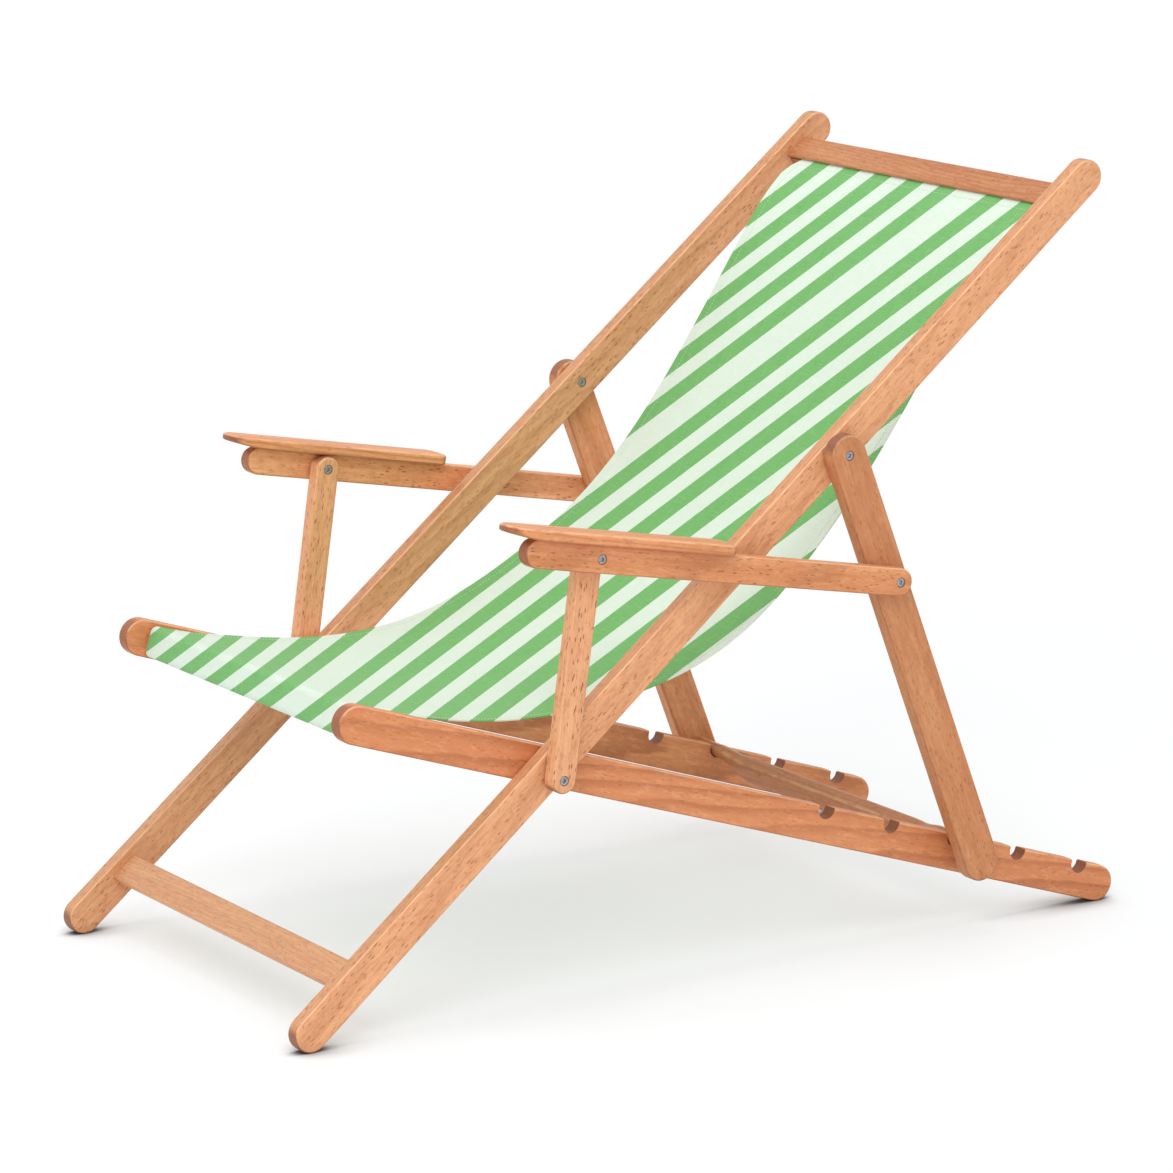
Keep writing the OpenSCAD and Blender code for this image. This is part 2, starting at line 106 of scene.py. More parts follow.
# the linkage, from the main pivot: P1 prop pivot, P2 arm to prop leg, P3 strut to arm
NOTCH_N = HOLE_OFF + SEAT_W / 2 - NOTCH_D + NOTCH_W / 2
MAIN = Vector((0, 0))
P1 = on(BACK, PROP_AT, HOLE_OFF)
notch = on(SEAT, NOTCH_FIRST + (NOTCH_USED - 1) * NOTCH_PITCH, NOTCH_N)
PROP = angle_of(notch - P1)
BAR = notch + (NOTCH_W / 2 - BAR_R - BAR_GAP) * unit(PROP)
P2 = P1 + ARM_DROP * unit(PROP)
ARM_LEN = P1.length + ARM_DROP - STRUT_LEN
along = (STRUT_LEN ** 2 - ARM_LEN ** 2 + P2.length ** 2) / (2 * P2.length)
P3 = P2.normalized() * along + Vector((-P2.y, P2.x)).normalized() * math.sqrt(STRUT_LEN ** 2 - along ** 2)
ARM = angle_of(P2 - P3)
STRUT = angle_of(P3)


# places

def plane_matrix(at, a):
    """Local x runs along a line of angle a through at (given from the main pivot), local y up from it,
    local z across the chair."""
    d = unit(a)
    return Matrix(((0, 0, 1, 0), (d.x, -d.y, 0, (PIVOT.x + at.x) * MM),
                   (d.y, d.x, 0, (PIVOT.y + at.y) * MM), (0, 0, 0, 1)))


def cross_matrix(at, a, x=0):
    """Local x runs along such a line, local y across the chair, local z up from the line; x is mm from
    the chair's middle."""
    d = unit(a)
    return Matrix(((0, -1, 0, x * MM), (d.x, 0, -d.y, (PIVOT.x + at.x) * MM),
                   (d.y, 0, d.x, (PIVOT.y + at.y) * MM), (0, 0, 0, 1)))


def out_matrix(at, x, way):
    """Local z runs out of the wood's face at x, to +X (way 1) or -X."""
    y, z = (PIVOT.x + at.x) * MM, (PIVOT.y + at.y) * MM
    if way > 0:
        return Matrix(((0, 0, 1, x * MM), (1, 0, 0, y), (0, 1, 0, z), (0, 0, 0, 1)))
    return Matrix(((0, 0, -1, x * MM), (0, 1, 0, y), (1, 0, 0, z), (0, 0, 0, 1)))


def placed(x, p):
    """In metres: x mm across the chair, and p in the side view from the main pivot."""
    return Vector((x, PIVOT.x + p.x, PIVOT.y + p.y)) * MM


def span(x, side):
    """The two faces of a rail whose inner face lies at x."""
    return (x, x + STOCK) if side > 0 else (-x - STOCK, -x)


# mesh helpers

def collection_link(obj):
    bpy.context.scene.collection.objects.link(obj)
    return obj


def mesh_of(bm, name):
    """A new mesh of what bm holds. It frees bm."""
    me = bpy.data.meshes.new(name)
    bm.to_mesh(me)
    bm.free()
    return me


def arc(cx, cy, r, a0, a1, steps):
    turns = [math.radians(a0 + (a1 - a0) * i / steps) for i in range(steps + 1)]
    return [(cx + r * math.cos(t), cy + r * math.sin(t)) for t in turns]


def stadium(s0, s1, n, w, steps=28):
    r = w / 2
    return arc(s1 - r, n, r, -90, 90, steps) + arc(s0 + r, n, r, 90, 270, steps)


def round_rect(x0, y0, x1, y1, r, steps):
    """r is one radius, or those of the corners from the lower right, counter-clockwise."""
    if not isinstance(r, (tuple, list)):
        r = (r,) * 4
    return (arc(x1 - r[0], y0 + r[0], r[0], -90, 0, steps)
            + arc(x1 - r[1], y1 - r[1], r[1], 0, 90, steps)
            + arc(x0 + r[2], y1 - r[2], r[2], 90, 180, steps)
            + arc(x0 + r[3], y0 + r[3], r[3], 180, 270, steps))


def inset(outline, d):
    """The outline moved inward by d, for a closed outline that runs counter-clockwise."""
    out, n = [], len(outline)
    for i in range(n):
        p, a, b = Vector(outline[i]), Vector(outline[i - 1]), Vector(outline[(i + 1) % n])
        u, v = (p - a).normalized(), (b - p).normalized()
        nu, nv = Vector((-u.y, u.x)), Vector((-v.y, v.x))
        out.append(p + (nu + nv) * d / (1 + nu.dot(nv)))
    return out


def clean(outline):
    """The outline without points that fall together."""
    out = []
    for p in outline:
        if not out or (Vector(p) - Vector(out[-1])).length > 1e-4:
            out.append(tuple(p))
    if (Vector(out[0]) - Vector(out[-1])).length < 1e-4:
        out.pop()
    return out


def flat_ring(bm, points, z):
    return [bm.verts.new((x * MM, y * MM, z * MM)) for x, y in points]


def skin(bm, rings):
    """Faces between neighbouring rings of vertices, and a cap at each end."""
    for a, b in zip(rings, rings[1:]):
        n = len(a)
        for i in range(n):
            bm.faces.new((a[i], a[(i + 1) % n], b[(i + 1) % n], b[i]))
    bm.faces.new(rings[0][::-1])
    bm.faces.new(rings[-1])


def stack(name, outline, levels):
    """The outline, moved inward by d at the height z for each (d, z) of levels."""
    outline, bm = clean(outline), bmesh.new()
    skin(bm, [flat_ring(bm, inset(outline, d) if d else [Vector(p) for p in outline], z) for d, z in levels])
    return mesh_of(bm, name)


def slab_mesh(name, outline, z0, z1, edge, steps=4):
    """A flat piece with rounded arrises, from z0 to z1. A narrow lip beside each arris keeps the wide
    faces flat in smooth shading."""
    lip = 0.35
    levels = [(edge + lip, z0)]
    for j in range(steps + 1):
        t = math.pi / 2 * j / steps
        levels.append((edge * (1 - math.sin(t)), z0 + edge * (1 - math.cos(t))))
    levels.append((0, z0 + edge + lip))
    levels += [(d, z1 - (z - z0)) for d, z in reversed(levels)]
    return stack(name, outline, levels)


def extrude_x(name, outline, half):
    """A moulding: the outline in (s, n), run across the chair, with eased ends."""
    lip, drawn_in = 0.4, END_EDGE * 0.9 * 0.4
    return stack(name, outline, [
        (drawn_in, -half), (0, -half + END_EDGE), (0, -half + END_EDGE + lip),
        (0, half - END_EDGE - lip), (0, half - END_EDGE), (drawn_in, half)])


def revolve(bm, rings, steps, centre=(0, 0)):
    """Rings of (radius or a function of the angle, z), from the first cap to the last; mm."""
    made = []
    for r, z in rings:
        ring = []
        for i in range(steps):
            t = 2 * math.pi * i / steps
            rr = r(t) if callable(r) else r
            ring.append((centre[0] + rr * math.cos(t), centre[1] + rr * math.sin(t)))
        made.append(flat_ring(bm, ring, z))
    skin(bm, made)


def carve(me, build):
    """me with what build(bm) draws cut away."""
    bm = bmesh.new()
    build(bm)
    bmesh.ops.recalc_face_normals(bm, faces=bm.faces)
    a = collection_link(bpy.data.objects.new("carved", me))
    b = collection_link(bpy.data.objects.new("cutter", mesh_of(bm, "cut")))
    m = a.modifiers.new("cut", "BOOLEAN")
    m.operation, m.solver, m.object = "DIFFERENCE", "EXACT", b
    out = bpy.data.meshes.new_from_object(a.evaluated_get(bpy.context.evaluated_depsgraph_get()))
    bpy.data.objects.remove(a)
    bpy.data.objects.remove(b)
    return out


def finish_mesh(me, sharp):
    """Normals outward, and smooth shading but for edges over this many degrees."""
    bm = bmesh.new()
    bm.from_mesh(me)
    bmesh.ops.recalc_face_normals(bm, faces=bm.faces)
    bm.to_mesh(me)
    bm.free()
    me.shade_smooth()
    me.set_sharp_from_angle(angle=math.radians(sharp))


# node helpers

class Nodes:
    def __init__(self, tree):
        self.tree = tree
        tree.nodes.clear()

    def put(self, socket, value):
        if isinstance(value, bpy.types.NodeSocket):
            self.tree.links.new(value, socket)
        elif value is not None:
            if socket.type == "RGBA" and len(value) == 3:
                value = (*value, 1)
            socket.default_value = value

    def node(self, kind, inputs=None, out=0):
        n = self.tree.nodes.new(kind)
        for k, v in (inputs or {}).items():
            self.put(n.inputs[k], v)
        return n.outputs[out]

    def math(self, op, a, b=None):
        n = self.tree.nodes.new("ShaderNodeMath")
        n.operation = op
        for i, v in enumerate((a, b)):
            self.put(n.inputs[i], v)
        return n.outputs[0]

    def mul(self, a, b):
        return self.math("MULTIPLY", a, b)

    def add(self, a, b):
        return self.math("ADD", a, b)

    def above(self, x):
        """x where it is over 0, otherwise 0."""
        return self.math("MAXIMUM", x, 0.0)

    def vmath(self, op, a, b=None):
        n = self.tree.nodes.new("ShaderNodeVectorMath")
        n.operation = op
        self.put(n.inputs[0], a)
        self.put(n.inputs[1], b)
        return n.outputs["Value"] if op in ("LENGTH", "DOT_PRODUCT") else n.outputs[0]

    def attribute(self, name):
        n = self.tree.nodes.new("ShaderNodeAttribute")
        n.attribute_name = name
        return n.outputs["Vector"]

    def object_place(self):
        return self.node("ShaderNodeTexCoord", out=3)

    def split(self, v):
        n = self.tree.nodes.new("ShaderNodeSeparateXYZ")
        self.put(n.inputs[0], v)
        return n.outputs

    def join(self, x, y, z):
        n = self.tree.nodes.new("ShaderNodeCombineXYZ")
        for i, v in enumerate((x, y, z)):
            self.put(n.inputs[i], v)
        return n.outputs[0]

    def noise(self, vector, scale, detail=3, rough=0.55):
        return self.node("ShaderNodeTexNoise", {"Vector": vector, "Scale": scale, "Detail": detail,
                                               "Roughness": rough})

    def stretched(self, vector, by, detail=3, rough=0.55):
        """Noise with by units to a metre along each axis."""
        return self.noise(self.vmath("MULTIPLY", vector, by), 1.0, detail, rough)

    def ramp(self, fac, stops):
        n = self.tree.nodes.new("ShaderNodeValToRGB")
        e = n.color_ramp.elements
        while len(e) < len(stops):
            e.new(0.5)
        for el, (pos, grey) in zip(e, stops):
            el.position = pos
            el.color = (grey, grey, grey, 1)
        self.put(n.inputs[0], fac)
        return n.outputs[0]

    def mix(self, fac, a, b, blend="MIX"):
        n = self.tree.nodes.new("ShaderNodeMix")
        n.data_type, n.blend_type = "RGBA", blend
        n.clamp_result = False
        self.put(n.inputs[0], fac)
        self.put(n.inputs[6], a)
        self.put(n.inputs[7], b)
        return n.outputs[2]

    def smooth(self, x, lo, hi, a=0.0, b=1.0):
        """From a to b as x goes from lo to hi."""
        n = self.tree.nodes.new("ShaderNodeMapRange")
        n.interpolation_type = "SMOOTHSTEP"
        for i, v in enumerate((x, lo, hi, a, b)):
            self.put(n.inputs[i], v)
        return n.outputs[0]

    def bump(self, height, distance, strength):
        return self.node("ShaderNodeBump", {"Strength": strength, "Distance": distance, "Height": height})

    def direct(self):
        """1 for what the camera sees by itself, in a mirror or through glass."""
        path = self.tree.nodes.new("ShaderNodeLightPath").outputs
        return self.math("MAXIMUM", path["Is Camera Ray"],
                         self.math("MAXIMUM", path["Is Glossy Ray"], path["Is Transmission Ray"]))

    def mix_shader(self, out, fac, a, b):
        n = self.tree.nodes.new("ShaderNodeMixShader")
        for i, v in enumerate((fac, a, b)):
            self.put(n.inputs[i], v)
        self.tree.links.new(n.outputs[0], out.inputs[0])


class Surface(Nodes):
    """A material with one Principled shader."""

    def __init__(self, name):
        self.mat = bpy.data.materials.new(name)
        self.mat.use_nodes = True
        super().__init__(self.mat.node_tree)
        self.out = self.tree.nodes.new("ShaderNodeOutputMaterial")
        self.bsdf = self.tree.nodes.new("ShaderNodeBsdfPrincipled")
        self.tree.links.new(self.bsdf.outputs[0], self.out.inputs[0])

    def set(self, **inputs):
        for k, v in inputs.items():
            self.put(self.bsdf.inputs[k.replace("_", " ")], v)


def srgb(r, g, b):
    def f(c):
        c /= 255
        return c / 12.92 if c <= 0.04045 else ((c + 0.055) / 1.055) ** 2.4
    return (f(r), f(g), f(b))


# materials

def make_wood():
    """Oiled beech. The attribute grain holds metres along the fibres, across them and through them;
    kind.x is how plain-sawn the board is, kind.y how red (pale under 0), kind.z how flecked. tone.x is how
    light the piece is, partly its own tone and partly painted light and shade; tone.y is over 0 on end grain;
    tone.z is over 0 on an arris that looks up, which gets a painted highlight, and under 0 on one that looks
    down, which gets painted shade."""
    n = Surface("beech")
    g = n.attribute("grain")
    sawn, red, flecked = n.split(n.attribute("kind"))
    light, end, arris_highlight_shade = n.split(n.attribute("tone"))

    def toward(base, amount, r, g, b):
        return n.mix(amount, base, srgb(r, g, b))

    # growth rings about an axis that lies a little off the fibres, so that arches show on the faces
    slow = n.stretched(g, (2.2, 9, 9), 2, 0.5)
    fast = n.stretched(g, (9, 60, 60), 3, 0.6)
    gx, gy, gz = n.split(g)
    y = n.add(gy, n.mul(n.math("SUBTRACT", slow, 0.5), 0.06))
    z = n.add(gz, n.mul(gx, 0.035))
    radius = n.add(n.vmath("LENGTH", n.join(0.0, y, z)), n.mul(fast, 0.0035))
    rings_per_metre = 185.0
    ring = n.math("FRACT", n.mul(radius, rings_per_metre))
    late = n.ramp(ring, [(0.0, 0.0), (0.45, 0.18), (0.86, 1.0), (0.93, 0.75), (1.0, 0.0)])
    late = n.mul(late, n.mul(sawn, n.smooth(slow, 0.25, 0.7, 0.45, 1.0)))
    # fibres, and the short dark flecks of beech
    fibre = n.stretched(g, (26, 1500, 1500), 3, 0.65)
    band = n.stretched(g, (3.5, 75, 75), 4, 0.6)
    patch = n.stretched(g, (7, 16, 16), 2, 0.5)
    mottle = n.stretched(g, (75, 260, 260), 3, 0.6)
    grit = n.stretched(g, (240, 700, 700), 2, 0.6)
    cell = n.node("ShaderNodeTexVoronoi", {"Vector": n.vmath("MULTIPLY", g, (95, 350, 350)), "Scale": 1.0,
                                          "Randomness": 1.0})
    pick = n.stretched(g, (60, 200, 200), 1, 0.5)
    fleck = n.mul(n.smooth(cell, 0.16, 0.36, 1.0, 0.0), n.smooth(pick, 0.44, 0.54))
    fleck = n.mul(fleck, n.mul(flecked, n.smooth(patch, 0.3, 0.65, 0.45, 1.0)))
    base = n.mix(n.smooth(band, 0.32, 0.68), srgb(236, 170, 118), srgb(211, 141, 90))
    base = toward(base, n.mul(n.smooth(patch, 0.35, 0.7), 0.45), 224, 148, 98)
    base = toward(base, n.above(red), 196, 118, 76)
    base = toward(base, n.above(n.mul(red, -1.0)), 240, 192, 152)
    base = toward(base, n.mul(late, 0.8), 158, 90, 52)
    base = toward(base, n.mul(n.smooth(fibre, 0.42, 0.62), 0.24), 176, 108, 68)
    base = toward(base, n.mul(n.smooth(mottle, 0.50, 0.68), n.add(0.12, n.mul(flecked, 0.3))), 186, 112, 68)
    base = toward(base, n.mul(n.smooth(mottle, 0.48, 0.32), 0.16), 246, 188, 140)
    base = toward(base, n.mul(n.smooth(grit, 0.52, 0.68), 0.26), 178, 108, 66)
    base = toward(base, n.mul(fleck, 0.8), 112, 62, 38)
    # end grain drinks more oil
    base = toward(base, n.mul(end, n.smooth(grit, 0.3, 0.7, 0.75, 0.95)), 122, 66, 42)
    # painted highlight on arrises that look up, with a little polish, and painted shade on arrises that look
    # down
    highlight_and_polish = n.mul(n.above(arris_highlight_shade), n.smooth(n.stretched(g, (45, 130, 130)), 0.30, 0.58, 0.25, 0.8))
    base = toward(base, n.mul(highlight_and_polish, 0.6), 250, 204, 160)
    base = toward(base, n.mul(n.above(n.mul(arris_highlight_shade, -1.0)), 0.55), 140, 80, 50)
    # the piece's brightness, partly its own tone and partly painted light and shade, with painted shade on
    # narrow faces
    base = n.vmath("SCALE", base)
    n.put(base.node.inputs["Scale"], light)
    rough = n.add(0.40, n.mul(fibre, 0.16))
    rough = n.math("SUBTRACT", n.add(rough, n.mul(fleck, 0.15)), n.mul(highlight_and_polish, 0.08))
    height = n.math("SUBTRACT", n.mul(fibre, 0.6), n.add(fleck, n.mul(late, 0.25)))
    n.set(Base_Color=base, Roughness=rough, Specular_IOR_Level=0.32, Normal=n.bump(height, 0.00022, 0.55))
    return n.mat


def make_steel():
    n = Surface("plated_steel")
    co = n.object_place()
    cloud = n.noise(co, 420.0, 4, 0.6)
    scratch = n.stretched(co, (300, 5200, 5200), 2, 0.5)
    n.set(Base_Color=n.mix(n.smooth(cloud, 0.35, 0.7), srgb(176, 176, 178), srgb(134, 133, 134)),
          Metallic=1.0, Roughness=n.add(0.24, n.mul(cloud, 0.22)), Normal=n.bump(scratch, 0.00003, 0.5))
    return n.mat


# Green stripes on white, in groups of six with a wider white one between the groups. Sizes are shares of
# a stripe's pitch.
STRIPE_GREEN, STRIPE_GROUP, STRIPE_ROUND = 0.515, 6, 6.39
# The photographed stripes run at one slant over back and seat alike, which none that is straight on the
# cloth does, so they are counted by planes that fan out a little through the chair: (ALONG . p + FROM)
# / (1 + FAN . p) at the point p in mm.
STRIPE_ALONG, STRIPE_FROM = Vector((0.013551, 0.0127008, -0.0233549)), 11.40177
STRIPE_FAN = Vector((0.0000454, 0.0002411, -0.0003275))


def stripe_count(p):
    return (STRIPE_ALONG.dot(p) + STRIPE_FROM) / (1 + STRIPE_FAN.dot(p))


def make_canvas():
    """Cotton canvas. The attribute cloth holds metres across the sling from the sitter's right, metres along
    it from the slot, and the count of stripes."""
    n = Surface("striped_canvas")
    c = n.attribute("cloth")
    u, v, count = n.split(c)
    wobble = n.stretched(c, (900, 900, 0), 2)
    count = n.add(count, n.mul(n.math("SUBTRACT", wobble, 0.5), 0.03))
    turn = n.math("FLOORED_MODULO", count, STRIPE_ROUND)
    stripe = n.mul(n.math("LESS_THAN", n.math("FRACT", turn), STRIPE_GREEN),
                   n.math("LESS_THAN", turn, STRIPE_GROUP))
    # a basket weave of two threads over two, each 0.55 mm wide
    pitch = 0.0011
    wu = n.math("SINE", n.mul(u, 2 * math.pi / pitch))
    wv = n.math("SINE", n.mul(v, 2 * math.pi / pitch))
    weave = n.math("ABSOLUTE", n.mul(wu, wv))
    warp = n.stretched(c, (1900, 40, 0), 2, 0.6)
    weft = n.stretched(c, (40, 1900, 0), 2, 0.6)
    cloud = n.stretched(c, (7, 7, 0), 3, 0.5)
    slub = n.add(n.mul(warp, 0.5), n.mul(weft, 0.5))
    white = n.mix(n.smooth(slub, 0.34, 0.66), srgb(220, 238, 219), srgb(236, 247, 234))
    green = n.mix(n.smooth(slub, 0.34, 0.66), srgb(108, 178, 96), srgb(134, 199, 122))
    # white weft threads show through the green here and there
    fleck = n.mul(n.smooth(weft, 0.60, 0.72), n.smooth(weave, 0.2, 0.8))
    green = n.mix(n.mul(fleck, 0.30), green, srgb(188, 226, 180))
    col = n.mix(stripe, white, green)
    # painted shade between the threads, and a dye a little uneven over the whole cloth
    for amount, gap_shade_and_dye in ((n.mul(n.smooth(weave, 0.0, 0.5, 1.0, 0.0), 0.16), srgb(196, 206, 196)),
                        (n.mul(n.smooth(cloud, 0.45, 0.75), 0.10), srgb(226, 230, 224))):
        col = n.mix(amount, col, n.mix(1.0, col, gap_shade_and_dye, "MULTIPLY"))
    height = n.add(weave, n.mul(slub, 0.8))
    n.set(Base_Color=col, Roughness=0.86, Specular_IOR_Level=0.25, Sheen_Weight=0.12, Sheen_Roughness=0.5,
          Normal=n.bump(height, 0.00016, 0.6))
    # some light comes through
    glow = n.node("ShaderNodeBsdfTranslucent", {"Color": col})
    n.mix_shader(n.out, 0.08, n.bsdf.outputs[0], glow)
    return n.mat


def make_thread():
    n = Surface("thread")
    ply = 0.0007
    twist = n.math("SINE", n.mul(n.vmath("DOT_PRODUCT", n.object_place(), (1, 1, 1)), 2 * math.pi / ply))
    # painted shade in the grooves of the twist
    n.set(Base_Color=n.mix(n.smooth(twist, -1.0, 1.0), srgb(206, 220, 204), srgb(244, 248, 240)),
          Roughness=0.7, Normal=n.bump(twist, 0.0001, 0.5))
    return n.mat


wood, steel, canvas, thread = make_wood(), make_steel(), make_canvas(), make_thread()


# wooden pieces

dice = random.Random(41)


def held(x, lo, hi):
    return min(hi, max(lo, x))


def wooden(name, me, matrix, body, nodes, kind, axis="x", light=1.0, edges=1.0, raw=None):
    """me is a slab with its wide faces square to z. axis is the fibre's direction in it; kind is
    plain-sawn, red (pale under 0), flecked. light scales the whole piece, partly its own tone and partly
    painted light and shade; edges scales its narrow faces, as painted shade; raw(centre) names the faces that
    a cutter left open."""
    finish_mesh(me, 32)
    order = {"x": (0, 1, 2), "y": (1, 0, 2), "z": (2, 0, 1)}[axis]
    shift = (dice.uniform(-3, 3), dice.choice((-1, 1)) * dice.uniform(0.018, 0.05), dice.uniform(0.012, 0.04))
    flip = dice.choice((-1, 1))
    for key, domain in (("grain", "POINT"), ("kind", "POINT"), ("tone", "CORNER")):
        me.attributes.new(key, "FLOAT_VECTOR", domain)
    grain, what, tone = me.attributes["grain"], me.attributes["kind"], me.attributes["tone"]
    kind = (held(kind[0] + dice.uniform(-0.08, 0.08), 0, 1), held(kind[1] + dice.uniform(-0.07, 0.07), -1, 1),
            kind[2])
    arris, turned = [], matrix.to_3x3()
    for i, v in enumerate(me.vertices):
        x, y, z = (v.co[k] for k in order)
        grain.data[i].vector = (x * flip + shift[0], y + shift[1], z + shift[2])
        what.data[i].vector = kind
        nz = abs(v.normal.z)
        # the world's up picks the arrises: a painted highlight on those that look up, painted shade on those
        # that look down
        up = held((turned @ v.normal).z * 2.2, -1.0, 1.0)
        arris.append(up * held(2 * nz * math.sqrt(max(0.0, 1 - nz * nz)) * 1.15 - 0.1, 0.0, 1.0))
    for face in me.polygons:
        out = abs(face.normal.z)
        plain = out > 0.98 and face.area > 0.0001 or out < 0.1
        end = held((abs(face.normal[order[0]]) - 0.35) / 0.4, 0.0, 0.85)
        if raw and out < 0.97 and raw(face.center / MM):
            end, plain = 1.0, True
        for k in face.loop_indices:
            # tone.x carries painted shade on the narrow faces, tone.z the painted highlight and shade of the
            # arrises
            arris_shading = 0.0 if plain else arris[me.loops[k].vertex_index]
            tone.data[k].vector = (light * (edges if out < 0.5 else 1.0), end, arris_shading)
    me.materials.clear()
    me.materials.append(wood)
    me.transform(matrix)
    obj = collection_link(bpy.data.objects.new(name, me))
    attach(obj, body)
    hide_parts(*nodes)


def near_bores(*places):
    """For raw: the walls of the recesses round these (s, n)."""
    return lambda c: any(math.hypot(c.x - s, c.y - n) < HEAD_R + 1 for s, n in places)


def counterbore(bm, s, n, x, way, side):
    """A recess for a bolt head in the outer (way 1) or inner (way -1) face of a piece, which lies at x."""
    depth, rim, r = 3.0, 0.55, HEAD_R + 0.05
    out = side if way > 0 else -side
    z = x * side
    rings = [(r, z - out * depth), (r, z - out * 0.35), (r + rim, z + out * 0.05), (r + rim, z + out * 2)]
    revolve(bm, rings if out > 0 else rings[::-1], 40, (s, n))


def bored(me, side, *bores):
    """me with a recess at each (s, n, x, way) of bores."""
    def build(bm):
        for s, n, x, way in bores:
            counterbore(bm, s, n, x, way, side)
    return carve(me, build)


# back frame

back_m, seat_m = plane_matrix(MAIN, BACK), plane_matrix(MAIN, SEAT)

for word, side in SIDES:
    me = slab_mesh("rail", stadium(-BACK_FOOT, BACK_TOP, HOLE_OFF, BACK_W), *span(X_BACK, side), RAIL_EDGE)
    me = bored(me, side, (PROP_AT, HOLE_OFF, X_BACK, -1))
    # edges 0.86 is painted shade on the narrow faces
    wooden("back_rail_" + word, me, back_m, "back_frame", ["long_rail_" + word], kind=(0.28, -0.34, 0.75),
           light=1.04 if side > 0 else 0.97, edges=0.86, raw=near_bores((PROP_AT, HOLE_OFF)))

# top rail: a moulding with a slot in its lower edge that opens into a round channel
low = TOP_RAIL_AT - TOP_RAIL_W
n0, n1 = TOP_RAIL_N
slot_n, channel_s = n1 - SLOT_IN, low + CHANNEL_AT
r, lip = TOP_RAIL_R, TOP_LIP_R
mouth = SLOT_HALF + SLOT_MOUTH
outline = (arc(TOP_RAIL_AT - r, n0 + r, r, -90, 0, 6) + arc(TOP_RAIL_AT - r, n1 - r, r, 0, 90, 6)
           + arc(low + lip, n1 - lip, lip, 90, 180, 6)
           + [(low, slot_n + mouth), (low + SLOT_MOUTH, slot_n + SLOT_HALF)]
           + arc(channel_s, slot_n, CHANNEL_R, 154, -154, 28)
           + [(low + SLOT_MOUTH, slot_n - SLOT_HALF), (low, slot_n - mouth)]
           + arc(low + r, n0 + r, r, 180, 270, 6))
me = extrude_x("top", outline, X_BACK)
# light 0.80 darkens the head rail as painted shade
wooden("head_rail", me, back_m, "back_frame", ["top_rail"], axis="z", kind=(0.55, 0.30, 0.6), light=0.80)

n0, n1 = STRETCHER_N
outline = round_rect(-STRETCHER_AT - STRETCHER_W, n0, -STRETCHER_AT, n1, STRETCHER_R, 5)
me = extrude_x("stretcher", outline, X_BACK)
wooden("foot_stretcher", me, back_m, "back_frame", ["lower_stretcher"], axis="z", kind=(0.2, -0.4, 0.35),
       light=0.92)


# seat frame

def in_notch(centre):
    if not HOLE_OFF < centre.y < HOLE_OFF + SEAT_W / 2 - 0.3:
        return False
    k = held(round((centre.x - NOTCH_FIRST) / NOTCH_PITCH), 0, NOTCHES - 1)
    return abs(centre.x - NOTCH_FIRST - k * NOTCH_PITCH) < NOTCH_W / 2 + 1.5


def notch_outline(s):
    """Round below, with eased rims, and open above the rail's upper edge."""
    top, r, e = HOLE_OFF + SEAT_W / 2, NOTCH_W / 2, NOTCH_RIM
    return clean(arc(s, NOTCH_N, r, 180, 360, 20) + arc(s + r + e, top - e, e, 180, 90, 5)
                 + [(s + r + e, top + 6), (s - r - e, top + 6)] + arc(s - r - e, top - e, e, 90, 0, 5))


for word, side in SIDES:
    x0, x1 = span(X_SEAT, side)
    me = slab_mesh("rail", stadium(-SEAT_FRONT, SEAT_REAR, HOLE_OFF, SEAT_W), x0, x1, RAIL_EDGE)

    def cuts(bm):
        counterbore(bm, 0, 0, X_SEAT, -1, side)
        for k in range(NOTCHES):
            shape = notch_outline(NOTCH_FIRST + k * NOTCH_PITCH)
            skin(bm, [flat_ring(bm, shape, z) for z in (x0 - 2, x1 + 2)])
    me = carve(me, cuts)
    wooden("seat_side_" + word, me, seat_m, "seat_frame", ["seat_rail_" + word], kind=(0.95, 0.55, 0.45),
           light=1.12, raw=lambda c: in_notch(c) or near_bores((0, 0))(c))

(s0, s1), (n0, n1) = FRONT_RAIL_S, FRONT_RAIL_N
me = extrude_x("front", round_rect(s0, n0, s1, n1, FRONT_RAIL_R, 10), X_SEAT)
wooden("front_rail", me, seat_m, "seat_frame", ["seat_front_rail"], axis="z", kind=(0.4, 0.2, 0.4))


# prop frame

prop_m = plane_matrix(P1, PROP)
for word, side in SIDES:
    me = slab_mesh("leg", stadium(-PROP_W / 2, PROP_LEN, 0, PROP_W), *span(X_PROP, side), LEG_EDGE)
    me = bored(me, side, (0, 0, X_PROP + STOCK, 1), (ARM_DROP, 0, X_PROP, -1))
    wooden("prop_side_" + word, me, prop_m, "prop_frame", ["prop_leg_" + word], kind=(0.22, 0.22, 0.55),
           light=0.86 if side > 0 else 1.0, raw=near_bores((0, 0), (ARM_DROP, 0)))


def ease(t):
    t = held(t, 0.0, 1.0)
    return t * t * (3 - 2 * t)


# prop bar: lofted from its turned ends to a deep, soft board that hangs lower.
# local x down the leg, local y across the chair, local z through the board
BAR_STEPS = 40


